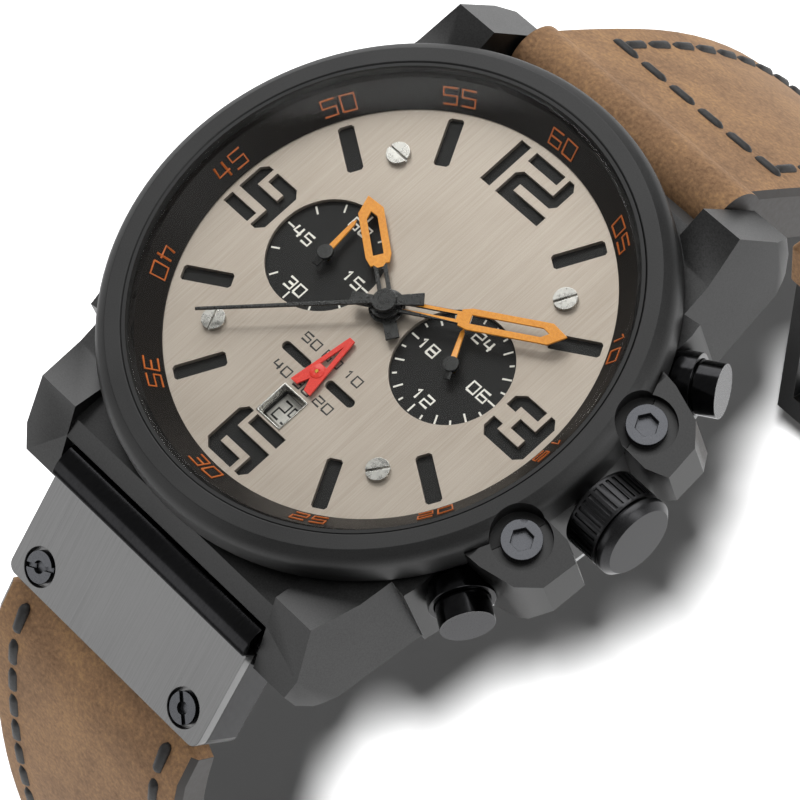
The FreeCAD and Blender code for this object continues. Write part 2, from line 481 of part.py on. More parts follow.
def frame_hand(base, tip, width, hub, pipe_out, pipe_in, z, z_pipe):
    """Skeleton hand: narrow open base, hollow luminous frame, short tail and pipe."""
    h = width / 2
    blade = prism([(-h * 0.75, base), (-h, base + 0.8), (-h, tip - 1.4), (0, tip), (h, tip - 1.4),
                   (h, base + 0.8), (h * 0.75, base)], z, z + HAND_T)
    inner = prism([(-h * 0.42, base + 0.9), (-h * 0.42, tip - 2.1), (0, tip - 1.5), (h * 0.42, tip - 2.1),
                   (h * 0.42, base + 0.9)], z, z + HAND_T)
    arm = box(-0.55, 0.55, -3.0, base + 0.1, z, z + HAND_T)
    gap = box(-0.2, 0.2, hub + 0.15, base - 0.3, z, z + HAND_T)
    out = blade.cut(inner).fuse(arm.cut(gap))
    out = out.fuse([cyl(hub, z, z + HAND_T), cyl(pipe_out, z_pipe, z + HAND_T)])
    return out.cut(cyl(pipe_in, z_pipe, z + 1)).removeSplitter()


hour_hand = frame_hand(3.9, 10.4, 2.1, 1.5, HOUR_R + 0.35, HOUR_R, Z_HOUR, Z_HOUR - 0.35)
export("hour_hand", turned(hour_hand, -56.7))
minute_hand = frame_hand(6.25, 15.2, 1.9, 1.3, CANNON_R, TUBE_R + 0.01, Z_MINUTE, 7.45)
minute_hand = turned(minute_hand, 60)
cannon = gear(12, 0.9, 7.15, 7.45, CANNON_PHASE, (0, 0), TUBE_R + 0.01)
minute_hand = minute_hand.fuse(cannon).removeSplitter()
export("minute_hand", minute_hand)
chrono_hand = prism([(-0.55, -3.2), (0.55, -3.2), (0.45, -1.0), (0.2, 0.9), (0.12, 15.4), (-0.12, 15.4),
                     (-0.2, 0.9), (-0.45, -1.0)], Z_CHRONO, Z_CHRONO + HAND_T)
chrono_hand = chrono_hand.fuse(cyl(1.0, Z_CHRONO, Z_CHRONO + 0.35)).cut(cyl(CHRONO_R, 9, TOP + 1.65))
export("chrono_seconds_hand", turned(chrono_hand.removeSplitter(), 226))

a_shape = prism([(-1.15, -1.8), (-0.45, -1.8), (0, -0.75), (0.45, -1.8), (1.15, -1.8), (0.28, 3.8),
                 (-0.28, 3.8)],
                Z_SUB, Z_SUB + HAND_T)
a_hole = prism([(-0.38, 0.7), (0.38, 0.7), (0.0, 2.9)], Z_SUB, Z_SUB + HAND_T)
small = a_shape.cut(a_hole).fuse(cyl(0.6, Z_SUB, Z_SUB + 0.25)).cut(cyl(ARBOR_R, 9, 12))
export("small_seconds_hand", turned(small.removeSplitter(), 0, SECONDS_AT))
for name, at, clock, length in (("minute_counter_hand", COUNTER_AT, -5, 3.7), ("day_hand", DAY_AT, -30, 3.3)):
    baton = prism([(-0.3, -1.3), (0.3, -1.3), (0.18, length - 0.4), (0, length), (-0.18, length - 0.4)],
                  Z_SUB, Z_SUB + HAND_T)
    baton = baton.fuse(cyl(0.65, Z_SUB, Z_SUB + 0.25)).cut(cyl(ARBOR_R, 9, 12)).removeSplitter()
    export(name, turned(baton, clock, at))

# ---- crown, stem and setting yoke ----------------------------------------------------------------------
CROWN_R = 3.5
CROWN_X0, CROWN_X1 = BEZEL_R + 0.8, BEZEL_R + 5.2
export("crown_tube", xcyl(1.3, 20.0, 23.4, 0, CROWN_Z).fuse(xcyl(1.1, 23.4, 26.0, 0, CROWN_Z)).cut(
    xcyl(0.35 + SLIDE, 19, 27, 0, CROWN_Z)).removeSplitter())
head = xcyl(CROWN_R, CROWN_X0, CROWN_X1 - 1.3, 0, CROWN_Z)
knurl = []
for i in range(36):
    a = math.radians(10 * i)
    g = box(CROWN_X0 + 0.3, CROWN_X1 - 1.6, -0.16, 0.16, CROWN_R - 0.18, CROWN_R + 0.2)
    g.rotate(V(0, 0, 0), X, 10 * i)
    g.translate(V(0, 0, CROWN_Z))
    knurl.append(g)
head = head.cut(knurl).fuse(xcyl(CROWN_R - 0.35, CROWN_X1 - 1.3, CROWN_X1 - 1.0, 0, CROWN_Z))
cap = Part.makeCone(CROWN_R, CROWN_R - 0.5, 0.5, V(CROWN_X1 - 0.5, 0, CROWN_Z), X)
head = head.fuse([xcyl(CROWN_R, CROWN_X1 - 1.0, CROWN_X1 - 0.5, 0, CROWN_Z), cap])
head = head.cut(xcyl(2.05, CROWN_X0, CROWN_X0 + 2.3, 0, CROWN_Z)).removeSplitter()
head = head.cut(xcyl(0.35, 25, CROWN_X1 - 1.5, 0, CROWN_Z))
export("crown", head)
stem = xcyl(0.35, 11.2, CROWN_X1 - 1.5, 0, CROWN_Z)
stem = stem.fuse(xcyl(0.45, 11.2, 12.0, 0, CROWN_Z)).fuse(xcyl(0.45, 12.6, 13.4, 0, CROWN_Z))
groove = xcyl(0.6, 12.0, 12.6, 0, CROWN_Z).cut(xcyl(0.28, 12.0, 12.6, 0, CROWN_Z))
export("stem", stem.cut(groove).removeSplitter())
yoke = box(12.05, 12.55, -1.4, 1.4, 7.15, 8.2).cut(xcyl(0.28 + SLIDE, 11, 14, 0, CROWN_Z))
export("setting_yoke", yoke.cut(box(11, 14, -0.33, 0.33, CROWN_Z, 9)))

# ---- pushers ---------------------------------------------------------------------------------------------
collars = []
for n, a in zip(("start", "reset"), PUSHER_ANGLES):
    collar = radial(COLLAR_R, 23.35, 25.2, a, PUSHER_Z).fuse(radial(1.3, 22.0, 23.35, a, PUSHER_Z))
    collar = collar.cut([radial(2.25, 23.75, 25.3, a, PUSHER_Z), radial(0.60 + SLIDE, 21, 26, a, PUSHER_Z)])
    collars.append(collar.removeSplitter())
    cap = radial(2.2, 24.95, 27.2, a, PUSHER_Z).cut(radial(1.7, 24.95, 25.9, a, PUSHER_Z))
    plunger = cap.fuse([radial(0.60, 18.9, 26.0, a, PUSHER_Z)]).removeSplitter()
    plunger = plunger.cut(radial(0.8, 19.1, 19.4, a, PUSHER_Z).cut(radial(0.4, 19.0, 19.5, a, PUSHER_Z)))
    helix = Part.makeHelix(0.42, 1.85, 1.25)
    wire = Part.makePolygon([V(x, 0, z) for x, z in ((1.12, -0.1), (1.38, -0.1), (1.38, 0.1), (1.12, 0.1),
                                                      (1.12, -0.1))])
    spring = Part.Wire(helix).makePipeShell([wire], True, True)
    spring.rotate(V(0, 0, 0), X, -90)
    spring.translate(V(0, 23.9, PUSHER_Z))
    export(n + "_pusher_spring", turned(spring, a))
    clip = radial(1.05, 19.1, 19.4, a, PUSHER_Z).cut(radial(0.4, 19, 19.5, a, PUSHER_Z))
    notch = turned(Part.makeBox(0.7, 0.5, 1.4, V(-0.35, 19.0, PUSHER_Z)), a)
    export(n + "_pusher", Part.makeCompound([plunger, clip.cut(notch)]))
export("pusher_collars", Part.makeCompound(collars))

# ---- spring bars -------------------------------------------------------------------------------------------
bars = []
for s in (1, -1):
    b = xcyl(BAR_R, -11.7, 11.7, s * BAR_Y, BAR_Z).fuse([xcyl(0.46, -13.6, 13.6, s * BAR_Y, BAR_Z)])
    b = b.fuse([xcyl(0.7, x, x + 0.4, s * BAR_Y, BAR_Z) for x in (-12.35, 11.95)])
    bars.append(b.removeSplitter())
export("spring_bars", Part.makeCompound(bars))


# ---- strap -------------------------------------------------------------------------------------------
def walk(start, heading, path, side, step=3.0):
    """Points along a strap centre line: (s, y, z, heading). side is +1 towards +Y, -1 towards -Y."""
    y, z = start
    s, h = 0.0, heading
    out = [(s, y, z, h)]
    for length, turn in path:
        count = max(1, int(math.ceil(length / step)))
        for _ in range(count):
            dh, ds = turn / count, length / count
            a = math.radians(h + dh / 2)
            chord = ds if not dh else ds * math.sin(math.radians(dh / 2)) / math.radians(dh / 2)
            y += side * chord * math.cos(a)
            z -= chord * math.sin(a)
            h += dh
            s += ds
            out.append((s, y, z, h))
    return out


def strap_section(point, side, width, thick):
    """Cross-section wire with bevelled edges, square to the centre line."""
    _, y, z, h = point
    a = math.radians(h)
    ny, nz = side * math.sin(a), math.cos(a)
    w, t, c = width / 2, thick / 2, 0.5
    prof = [(-w, -t), (w, -t), (w, t - c), (w - c, t), (-w + c, t), (-w, t - c)]
    return Part.makePolygon([V(u, y + ny * v, z + nz * v) for u, v in prof + prof[:1]])


def strap_loft(points, side, width, thick):
    wires = [strap_section(p, side, width(p[0]), thick(p[0])) for p in points]
    return Part.makeLoft(wires, True, True)


def local(shape, point, side):
    """Place a shape made in strap axes (X across, +Y along, +Z out) at a point of the centre line."""
    _, y, z, h = point
    a = math.radians(h)
    along = V(0, side * math.cos(a), -math.sin(a))
    out = V(0, side * math.sin(a), math.cos(a))
    across = along.cross(out)
    m = FreeCAD.Matrix(across.x, along.x, out.x, 0, across.y, along.y, out.y, y,
                       across.z, along.z, out.z, z, 0, 0, 0, 1)
    done = shape.copy()
    done.Placement = FreeCAD.Placement(m).multiply(done.Placement)
    return done


UPPER_LEN = sum(p[0] for p in UPPER_PATH)
LOWER_LEN = sum(p[0] for p in LOWER_PATH)
upper = walk((BAR_Y, BAR_Z), UPPER_HEAD, UPPER_PATH, 1)


def upper_w(s):
    return STRAP_W if s < 30 else STRAP_W + (BUCKLE_W - STRAP_W) * (s - 30) / (UPPER_LEN - 30)


def upper_t(s):
    return 5.2 + (3.2 - 5.2) * min(s, 34) / 34


end = upper[-1]
strap = strap_loft(upper, 1, upper_w, upper_t)
strap = strap.fuse(xcyl(KNUCKLE_R, -STRAP_W / 2, STRAP_W / 2, BAR_Y, BAR_Z))
strap = strap.fuse(xcyl(1.6, -BUCKLE_W / 2, BUCKLE_W / 2, end[1], end[2]))
strap = strap.cut([xcyl(BAR_R + RUN, -20, 20, BAR_Y, BAR_Z), xcyl(0.8, -20, 20, end[1], end[2])])
tongue_slot = local(box(-1.9, 1.9, -5.0, 3.0, -4, 4), end, 1)
export("strap_upper", strap.cut(tongue_slot).removeSplitter())

# buckle: bar, frame and tongue in strap axes, origin on the bar
FRAME_L, FRAME_W, WIRE = 15.0, 26.0, 1.2
export("buckle_bar", local(xcyl(0.8, -11.0, 11.0, 0, 0).fuse(xcyl(0.5, -12.4, 12.4, 0, 0)), end, 1))
frame = box(-FRAME_W / 2, FRAME_W / 2, -1.6, FRAME_L + 1.6, -WIRE, WIRE)
frame = frame.cut(box(-11.2, 11.2, -2, FRAME_L - 1.0, -4, 4))
frame = frame.cut([xcyl(0.5 + RUN, -20, 20, 0, 0), box(-1.6, 1.6, FRAME_L - 1.2, FRAME_L + 2, 0.55, 4)])
export("buckle_frame", local(frame.removeSplitter(), end, 1))
tongue = box(-1.2, 1.2, 0, FRAME_L + 1.4, 0.65, 1.65).fuse(xcyl(1.7, -1.2, 1.2, 0, 0))
tongue = tongue.cut(xcyl(0.8 + RUN, -5, 5, 0, 0)).removeSplitter()
export("buckle_tongue", local(tongue, end, 1))


def keeper(point, width, thick, room, length):
    """Flat loop round the strap with room for the strap's tail above it."""
    w, t = width / 2 + KEEPER_GAP, thick / 2 + KEEPER_GAP
    loop = box(-w - 1.3, w + 1.3, -length / 2, length / 2, -t - 1.1, t + room + 1.1)
    return local(loop.cut(box(-w, w, -length, length, -t, t + room)), point, 1)


for name, i, room in (("fixed_keeper", -3, 0.2), ("free_keeper", -6, 0.2)):
    p = upper[i]
    export(name, keeper(p, upper_w(p[0]) + 0.35, upper_t(p[0]), 3.4, 5.0))

# end link, plate and screws at 6 o'clock; the slope starts at the plate's upper edge
slope = math.radians(PLATE_HEAD)
edge = (-27.0, DIAL_Z - 4.4)
along = (-math.cos(slope), -math.sin(slope))
normal = (-math.sin(slope), math.cos(slope))


def on_plate(a, n):
    return edge[0] + along[0] * a + normal[0] * n, edge[1] + along[1] * a + normal[1] * n


def plate_block(a0, a1, n0, n1, half):
    return prism_yz([on_plate(a0, n0), on_plate(a1, n0), on_plate(a1, n1), on_plate(a0, n1)], -half, half)


PLATE_L, PLATE_T, TONGUE_T = 9.4, 1.0, 2.0
LINK_SCREWS = [(-9.1, 7.3), (9.1, 7.3)]
LINK_HEAD_R, LINK_SHANK_R = 1.35, 0.7
CHEEK_X = 10.6          # inside of the end link's cheeks, either side of the strap's tongue
def on_screw(u, a, r, n0, n1):
    y, z = on_plate(a, n0)
    return Part.makeCylinder(r, n1 - n0, V(u, y, z), V(0, normal[0], normal[1]))




def rounded_end(block, height):
    """Round the two outer corners of a block at its strap end."""
    middle = on_plate(PLATE_L / 2, 0)[1]
    corners = [e for e in block.Edges if abs(e.Length - height) < 1e-6 and e.CenterOfMass.z < middle - 2]
    return block.makeFillet(0.9, corners)


half = STRAP_W / 2 - 0.1
link = rounded_end(plate_block(0, PLATE_L, -4.6, -PLATE_T, half), 4.6 - PLATE_T)
link = link.fuse(xcyl(2.6, -half, half, -BAR_Y, BAR_Z))
link = link.cut(plate_block(2.6, 20, -PLATE_T - TONGUE_T, -PLATE_T, CHEEK_X))
link = link.cut([xcyl(BAR_R + RUN, -20, 20, -BAR_Y, BAR_Z), plate_block(-0.05, 20, -PLATE_T, 4, 20)])
link = link.cut([on_screw(u, a, LINK_SHANK_R, -4.0, 1.0) for u, a in LINK_SCREWS])
export("end_link", link.removeSplitter())
plate = rounded_end(plate_block(0, PLATE_L, -PLATE_T, 0, half), PLATE_T)
plate = plate.cut([on_screw(u, a, LINK_HEAD_R + 0.3, -0.6, 1.0) for u, a in LINK_SCREWS])
plate = plate.cut([on_screw(u, a, LINK_SHANK_R, -1.5, 1.0) for u, a in LINK_SCREWS])
export("link_plate", plate)
heads = []
for u, a in LINK_SCREWS:
    s = on_screw(u, a, LINK_HEAD_R, -0.6, 0.1).fuse(on_screw(u, a, LINK_SHANK_R, -3.9, -0.6))
    s = s.cut(on_screw(u, a, 0.55, -0.4, 1.0))
    y, z = on_plate(a, 0.1)
    groove = Part.makeBox(4, 0.4, 0.7, V(-2, -0.2, -0.35))
    groove.rotate(V(0, 0, 0), Z, 25 if u < 0 else -50)
    groove.rotate(V(0, 0, 0), X, PLATE_HEAD)
    groove.translate(V(u, y, z))
    heads.append(s.cut(groove))
export("link_plate_screws", Part.makeCompound(heads))

start = on_plate(2.7, -PLATE_T - TONGUE_T / 2)
lower = walk(start, PLATE_HEAD, LOWER_PATH, -1)


def lower_w(s):
    if s < 7:
        return 2 * (CHEEK_X - 0.1)
    if s < 40:
        return STRAP_W - 0.3
    tip = max(0.0, s - (LOWER_LEN - 9.0)) / 9.0
    return STRAP_W - 0.3 + (BUCKLE_W - STRAP_W) * min(1.0, (s - 40) / 45) - 9.0 * tip ** 1.5


def lower_t(s):
    thicker = 0.0 if s < 7 else min(0.9, (s - 7) * 0.35)
    thinner = 0.5 * min(1, (s - 60) / 20) if s > 60 else 0.0
    return TONGUE_T + thicker - thinner


strap = strap_loft(lower, -1, lower_w, lower_t)
strap = strap.cut([on_screw(u, a, LINK_SHANK_R, -4.5, 1.0) for u, a in LINK_SCREWS])
holes = []
for i in range(len(lower)):
    s, y, z, h = lower[i]
    if LOWER_LEN - 46 < s < LOWER_LEN - 11 and i % 2 == 0:
        holes.append(local(Part.makeCylinder(1.1, 10, V(0, 0, -5), Z), lower[i], -1))
export("strap_lower", strap.cut(holes).removeSplitter())
print("upper end", end, "lower end", lower[-1])
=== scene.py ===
import json
import math

import bpy
from mathutils import Matrix, Vector


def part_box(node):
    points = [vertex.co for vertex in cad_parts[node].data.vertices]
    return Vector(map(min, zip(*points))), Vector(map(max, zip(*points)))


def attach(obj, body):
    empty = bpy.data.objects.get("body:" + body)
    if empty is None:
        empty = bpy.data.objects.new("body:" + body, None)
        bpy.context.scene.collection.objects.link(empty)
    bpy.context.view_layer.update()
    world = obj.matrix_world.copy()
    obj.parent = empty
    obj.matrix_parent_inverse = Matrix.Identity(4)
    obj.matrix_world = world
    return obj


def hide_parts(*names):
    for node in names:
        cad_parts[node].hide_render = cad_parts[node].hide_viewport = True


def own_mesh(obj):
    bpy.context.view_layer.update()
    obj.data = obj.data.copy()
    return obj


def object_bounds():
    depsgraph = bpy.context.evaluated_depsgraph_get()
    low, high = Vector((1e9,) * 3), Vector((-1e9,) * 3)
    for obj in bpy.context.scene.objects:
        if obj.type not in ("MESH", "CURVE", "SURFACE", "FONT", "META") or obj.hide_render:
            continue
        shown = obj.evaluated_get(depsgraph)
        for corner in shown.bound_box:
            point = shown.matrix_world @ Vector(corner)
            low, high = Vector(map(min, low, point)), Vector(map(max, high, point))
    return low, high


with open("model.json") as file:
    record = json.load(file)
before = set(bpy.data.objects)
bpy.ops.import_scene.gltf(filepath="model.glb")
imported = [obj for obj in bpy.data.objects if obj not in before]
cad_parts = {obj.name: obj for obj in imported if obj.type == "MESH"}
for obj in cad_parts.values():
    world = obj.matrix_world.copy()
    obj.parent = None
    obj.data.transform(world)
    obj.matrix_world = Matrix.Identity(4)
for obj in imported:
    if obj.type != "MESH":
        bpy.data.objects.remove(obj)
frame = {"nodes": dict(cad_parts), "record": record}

CAD_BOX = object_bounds()
NODES = frame["nodes"]
BODY = {n: b for b, members in frame["record"]["behaviour"]["bodies"].items() for n in members}
MM = 0.001

# ---- sizes in millimetres, in the watch's own axes: +X the crown, +Y twelve o'clock, +Z out of the dia
DIAL_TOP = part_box("dial_plate")[1].z / MM
UNDER_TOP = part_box("dial_underplate")[1].z / MM
FLANGE_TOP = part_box("dial_flange")[1].z / MM
SUB_X = 7.6              # sub-dial centres, left and right of the middle
FLANGE_IN, FLANGE_OUT = 18.4, 20.2     # flange slope, inner and outer radius
STRAP_W, BUCKLE_W = 24.0, 20.0
UPPER_PATH = [(12, 4), (22, 20), (38, 40)]             # length, turn in degrees
LOWER_PATH = [(6.9, 0), (0.9, 3), (5.1, 27), (22, 14), (34, 8), (22, 50), (28, 30)]
UPPER_HEAD, PLATE_HEAD = 46.0, 38.0
BAR = (25.2, 4.3)        # spring bar, y and z


# ---- materials ---------------------------------------------------------------------------------------
def colour(code):
    """sRGB hex to linear, with alpha."""
    parts = [int(code[i:i + 2], 16) / 255 for i in (0, 2, 4)]
    return tuple(c / 12.92 if c <= 0.04045 else ((c + 0.055) / 1.055) ** 2.4 for c in parts) + (1.0,)


def add(tree, kind, inputs=(), **settings):
    """Add a shader node with its settings, values and links."""
    made = tree.nodes.new("ShaderNode" + kind)
    for key, value in settings.items():
        setattr(made, key, value)
    for key, value in dict(inputs).items():
        if isinstance(value, bpy.types.NodeSocket):
            tree.links.new(value, made.inputs[key])
        else:
            made.inputs[key].default_value = value
    return made


def blank(name):
    """A material with a Principled shader and object coordinates."""
    mat = bpy.data.materials.new(name)
    mat.use_nodes = True
    tree = mat.node_tree
    tree.nodes.clear()
    shader = add(tree, "BsdfPrincipled")
    add(tree, "OutputMaterial", {"Surface": shader.outputs[0]})
    coords = add(tree, "TexCoord").outputs["Object"]
    return mat, tree, shader, coords


def finish(name, dark, light, metallic, rough, grain, stretch=(1, 1, 1), bump=0.1, depth=0.01, detail=3.0,
           rough_span=0.08, **constants):
    """Surface whose colour and roughness drift between two values in a grain of the given size in mm.

    stretch lengthens the grain along an axis, for brushing; depth is the bump height in mm.
    """
    mat, tree, shader, coords = blank(name)
    scale = [1 / (grain * MM * s) for s in stretch]
    place = add(tree, "Mapping", {"Vector": coords, "Scale": scale})
    noise = add(tree, "TexNoise", {"Vector": place.outputs[0], "Scale": 1.0, "Detail": detail,
                                   "Roughness": 0.6})
    cloud = add(tree, "TexNoise", {"Vector": coords, "Scale": 1 / (9 * MM), "Detail": 2.0})
    both = add(tree, "Mix", {"Factor": 0.35, "A": noise.outputs[0], "B": cloud.outputs[0]})
    spread = add(tree, "MapRange", {"Value": both.outputs[0], "From Min": 0.35, "From Max": 0.65})
    tint = add(tree, "Mix", {"Factor": spread.outputs[0], "A": colour(dark), "B": colour(light)},
               data_type="RGBA")
    tree.links.new(tint.outputs["Result"], shader.inputs["Base Color"])
    gloss = add(tree, "MapRange", {"Value": both.outputs[0], "From Min": 0.3, "From Max": 0.7,
                                   "To Min": rough - rough_span, "To Max": rough + rough_span})
    tree.links.new(gloss.outputs[0], shader.inputs["Roughness"])
    relief = add(tree, "Bump", {"Height": noise.outputs[0], "Strength": bump, "Distance": depth * MM})
    tree.links.new(relief.outputs[0], shader.inputs["Normal"])
    shader.inputs["Metallic"].default_value = metallic
    for key, value in constants.items():
        shader.inputs[key.replace("_", " ")].default_value = value
    return mat


# Bead-blasted gunmetal plating on steel: soft even sheen with a very fine grit, 0.1 mm blasting marks
blasted = finish("blasted_gunmetal", "343434", "404040", 1.0, 0.50, 0.10, bump=0.25, depth=0.012)
# Satin gunmetal plating: a little smoother, for the case sides, lugs and guards
satin = finish("satin_gunmetal", "343434", "414141", 1.0, 0.38, 0.14, bump=0.15, depth=0.01)
# Black plating, satin, of the crown and collars, with fine turning lines
satin_black = finish("satin_black_plating", "272728", "363637", 1.0, 0.34, 0.10, bump=0.12, depth=0.008)
# Polished black plating on turned steel: dark mirror with faint turning lines across the axis
polished = finish("polished_black_plating", "1d1d1e", "29292a", 1.0, 0.16, 0.08, stretch=(1, 6, 6),
                  bump=0.05, depth=0.004, rough_span=0.03)
# Domed end of the pushers, black satin, and its chamfer rim in a lighter polished steel, which paints the
# highlight on the chamfer
pusher_end = finish("pusher_end_plating", "2c2c2d", "38383a", 1.0, 0.3, 0.1, bump=0.05, depth=0.004)
painted_highlight_rim = finish("painted_highlight_rim_steel", "8e8e8e", "a8a8a8", 1.0, 0.18, 0.1, bump=0.05, depth=0.004)
# Brushed gunmetal: straight brushing along the strap, lines about 0.12 mm apart and 6 mm long
brushed_plate = finish("brushed_gunmetal", "626262", "7b7b7b", 1.0, 0.36, 0.12, stretch=(1, 60, 60),
                       bump=0.35, depth=0.01, rough_span=0.1)
# Darkened steel of the hexagon screws and the buckle tongue
dark_steel = finish("darkened_screw_steel", "434447", "555659", 1.0, 0.3, 0.15, bump=0.1, depth=0.006)
# Brushed back steel plate, turned lines
back_steel = finish("brushed_back_steel", "7f8080", "a3a4a4", 1.0, 0.3, 0.12, stretch=(1, 45, 45),
                    bump=0.3, depth=0.01)
# Nickel-plated screws: bright, lightly scratched
nickel = finish("nickel_plated_steel", "a09e9a", "c0bdb8", 1.0, 0.28, 0.6, bump=0.02, depth=0.002)
# Warm silver dial: vertical brushing, lines 0.1 mm apart and several mm long, under matt lacquer
dial_silver = finish("brushed_silver_dial", "a3978b", "b4a99e", 0.7, 0.42, 0.10, stretch=(1, 70, 70),
                     bump=0.3, depth=0.008, rough_span=0.08)
# Black lacquer of the plate under the dial
black_lacquer = finish("black_dial_lacquer", "0b0a0a", "13110f", 0.0, 0.45, 0.3, bump=0.05, depth=0.005,
                       Specular_IOR_Level=0.25)
# Warm black paint of the sloped flange
flange_paint = finish("warm_black_flange_paint", "0f0c0a", "17120f", 0.0, 0.48, 0.25, bump=0.08, depth=0.006,
                      Specular_IOR_Level=0.2)
# Printed and lacquered colours, each with a slight ink texture
orange_paint = finish("orange_lacquer", "dd8a1f", "f0a437", 0.0, 0.38, 0.25, bump=0.06, depth=0.005)
orange_ink = finish("orange_print", "b85a1c", "cf6c26", 0.0, 0.5, 0.2, bump=0.1, depth=0.004)
red_paint = finish("red_lacquer", "d9281c", "ec4030", 0.0, 0.36, 0.25, bump=0.05, depth=0.005)
white_ink = finish("white_print", "e4dfd6", "f6f2ea", 0.0, 0.5, 0.2, bump=0.1, depth=0.004)
black_ink = finish("black_print", "100e0c", "1b1816", 0.0, 0.45, 0.2, bump=0.1, depth=0.004)
black_hand = finish("black_lacquered_hand", "0f0e0d", "1b1a19", 0.0, 0.3, 0.3, bump=0.05, depth=0.004)
date_white = finish("matt_white_date_disc", "dcd8d0", "efebe4", 0.0, 0.55, 0.3, bump=0.05, depth=0.005)
window_steel = finish("polished_window_frame", "9c9a96", "c9c7c2", 1.0, 0.22, 0.2, bump=0.08, depth=0.004)
# Black thread, rubber and strap edge paint
thread = finish("waxed_black_thread", "0a0909", "151312", 0.0, 0.6, 0.25, bump=0.6, depth=0.05)
edge_paint = finish("black_edge_paint", "15110e", "221c18", 0.0, 0.5, 0.5, bump=0.25, depth=0.03)
lining = finish("black_lining_leather", "181513", "26211e", 0.0, 0.7, 0.35, bump=0.5, depth=0.05)
rubber = finish("black_nitrile_rubber", "121212", "1e1e1e", 0.0, 0.7, 0.3, bump=0.1)
# Movement materials
moulded = finish("moulded_movement_plastic", "c9c6bd", "dad7cf", 0.0, 0.5, 0.5, bump=0.1)
brass = finish("rolled_brass", "b08a3c", "cfa852", 1.0, 0.3, 0.2, bump=0.1)
nickel_brass = finish("nickelled_brass", "a8a59c", "c4c1b8", 1.0, 0.32, 0.2, bump=0.1)
board_green = finish("solder_mask_green", "0c4a2c", "15603b", 0.0, 0.35, 0.5, bump=0.1)
copper = finish("enamelled_copper_winding", "9c4f28", "b9663a", 0.8, 0.35, 0.06, stretch=(1, 8, 8), bump=0.5)
iron = finish("annealed_stator_iron", "6d6c69", "858480", 1.0, 0.4, 0.2, bump=0.1)
cell_steel = finish("battery_can_steel", "a9a9a7", "c6c6c4", 1.0, 0.28, 0.3, bump=0.1)
steel = finish("plain_turned_steel", "8d8e90", "acadaf", 1.0, 0.28, 0.15, bump=0.1)


def nubuck():
    """Tan nubuck: napped leather with cloudy shade, fine grain, pores and a soft sheen."""
    mat, tree, shader, coords = blank("tan_nubuck_leather")
    cloud = add(tree, "TexNoise", {"Vector": coords, "Scale": 1 / (5 * MM), "Detail": 5.0, "Roughness": 0.65})
    nap = add(tree, "TexNoise", {"Vector": coords, "Scale": 1 / (0.35 * MM), "Detail": 4.0, "Roughness": 0.7})
    pores = add(tree, "TexVoronoi", {"Vector": coords, "Scale": 1 / (0.5 * MM)})
    mixed = add(tree, "Mix", {"Factor": 0.6, "A": cloud.outputs[0], "B": nap.outputs[0]})
    ramp = add(tree, "ValToRGB", {"Fac": mixed.outputs[0]})
    stops = ramp.color_ramp.elements
    stops[0].position, stops[0].color = 0.36, colour("64482e")
    stops[1].position, stops[1].color = 0.64, colour("9a764e")
    middle = stops.new(0.5)
    middle.color = colour("806042")
    tree.links.new(ramp.outputs[0], shader.inputs["Base Color"])
    shader.inputs["Roughness"].default_value = 0.86
    shader.inputs["Sheen Weight"].default_value = 0.2
    shader.inputs["Sheen Roughness"].default_value = 0.45
    shader.inputs["Sheen Tint"].default_value = colour("c8a884")
    height = add(tree, "Mix", {"Factor": 0.4, "A": nap.outputs[0], "B": pores.outputs[0]})
    relief = add(tree, "Bump", {"Height": height.outputs[0], "Strength": 0.55, "Distance": 0.06 * MM})
    tree.links.new(relief.outputs[0], shader.inputs["Normal"])
    return mat


def clear_crystal():
    """Mineral glass: clear, seen only by what it mirrors, more so at a low angle."""
    mat, tree, shader, coords = blank("clear_mineral_glass")
    tree.nodes.remove(shader)
    smear = add(tree, "TexNoise", {"Vector": coords, "Scale": 1 / (12 * MM), "Detail": 2.0})
    gloss = add(tree, "MapRange", {"Value": smear.outputs[0], "To Min": 0.015, "To Max": 0.05})
    mirror = add(tree, "BsdfGlossy", {"Roughness": gloss.outputs[0], "Color": (1, 1, 1, 1)})
    through = add(tree, "BsdfTransparent", {"Color": (0.97, 0.975, 0.97, 1)})
    facing = add(tree, "LayerWeight", {"Blend": 0.5}).outputs["Facing"]
    steep = add(tree, "Math", {0: facing, 1: 3.0}, operation="POWER")
    share = add(tree, "Math", {0: steep.outputs[0], 1: 0.08, 2: 0.005}, operation="MULTIPLY_ADD")
    mix = add(tree, "MixShader", {0: share.outputs[0], 1: through.outputs[0], 2: mirror.outputs[0]})
    out = [n for n in tree.nodes if n.type == "OUTPUT_MATERIAL"][0]
    tree.links.new(mix.outputs[0], out.inputs[0])
    return mat


leather = nubuck()
crystal_glass = clear_crystal()


# ---- modelling helpers -------------------------------------------------------------------------------
def only(obj):
    """Select one object alone and make it active."""
    bpy.ops.object.select_all(action="DESELECT")
    obj.select_set(True)
    bpy.context.view_layer.objects.active = obj


def modifier(obj, kind, **settings):
    only(obj)
    made = obj.modifiers.new(kind, kind)
    for key, value in settings.items():
        setattr(made, key, value)
    bpy.ops.object.modifier_apply(modifier=made.name)


def smooth(obj, angle=32):
    only(obj)
    bpy.ops.object.shade_smooth_by_angle(angle=math.radians(angle))


def rounded(obj, width, segments=2, angle=32):
    """Round the sharp edges and keep the flat faces flat."""
    modifier(obj, "BEVEL", width=width * MM, segments=segments, limit_method="ANGLE",
             angle_limit=math.radians(angle), use_clamp_overlap=True)
    smooth(obj, angle)
    modifier(obj, "WEIGHTED_NORMAL", weight=100, keep_sharp=True)


